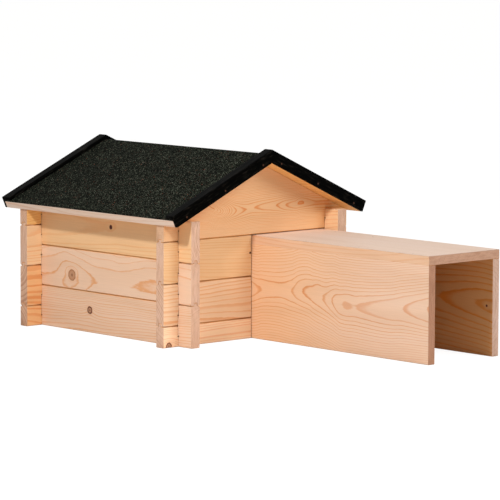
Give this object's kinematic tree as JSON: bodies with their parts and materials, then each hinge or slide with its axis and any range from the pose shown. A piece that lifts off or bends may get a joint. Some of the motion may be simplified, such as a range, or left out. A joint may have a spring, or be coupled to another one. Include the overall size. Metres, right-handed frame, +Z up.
{
  "type": "hedgehog house",
  "caption": "Small log-cabin style wooden hedgehog house with a lift-off gable roof in dark mineral felt and a long bottomless box tunnel as its entrance.",
  "frame": {"origin": "on the ground, at the middle of the whole object's box, which is under the front gable wall's outer face", "axes": "+Z up, the tunnel points towards -Y, the side walls and eaves face -X and +X"},
  "size_m": [0.4378, 0.834, 0.3203],
  "materials": {
    "wall_spruce": "planed, untreated",
    "tunnel_spruce": "planed, untreated",
    "roof_spruce": "planed, untreated",
    "batten_spruce": "planed, untreated",
    "roofing_felt": "bitumen felt with dark mineral granules",
    "black_trim": "painted black, satin",
    "brown_steel": "browned nail heads",
    "zinc_steel": "zinc plated"
  },
  "bodies": {
    "house": {"left_wall_board_1": "wall_spruce", "left_wall_board_2": "wall_spruce", "left_wall_board_3": "wall_spruce", "right_wall_board_1": "wall_spruce", "right_wall_board_2": "wall_spruce", "right_wall_board_3": "wall_spruce", "rear_half_board": "wall_spruce", "rear_wall_board_2": "wall_spruce", "rear_wall_board_3": "wall_spruce", "rear_gable_panel": "wall_spruce", "front_left_half_board": "wall_spruce", "front_left_board_2": "wall_spruce", "front_left_board_3": "wall_spruce", "front_right_half_block": "wall_spruce", "front_right_block_2": "wall_spruce", "front_right_block_3": "wall_spruce", "front_gable_panel": "wall_spruce", "opening_batten": "batten_spruce", "batten_screws": "zinc_steel"},
    "roof": {"roof_panel_left": "roof_spruce", "roof_panel_right": "roof_spruce", "roof_felt": "roofing_felt", "front_trim_left": "black_trim", "front_trim_right": "black_trim", "rear_trim_left": "black_trim", "rear_trim_right": "black_trim", "front_trim_nails": "brown_steel", "rear_trim_nails": "brown_steel", "ridge_batten": "batten_spruce", "roof_gusset_front": "batten_spruce", "roof_gusset_rear": "batten_spruce", "panel_nails": "zinc_steel"},
    "tunnel": {"tunnel_top_board": "tunnel_spruce", "tunnel_left_board": "tunnel_spruce", "tunnel_right_board": "tunnel_spruce", "tunnel_brads": "zinc_steel"}
  },
  "joints": [
    {"name": "roof_lift", "type": "slide", "parent": "house", "child": "roof", "axis": [0, 0, 1], "range_m": [0, 0.15]},
    {"name": "tunnel_pull", "type": "slide", "parent": "house", "child": "tunnel", "axis": [0, -1, 0], "range_m": [0, 0.1]}
  ]
}
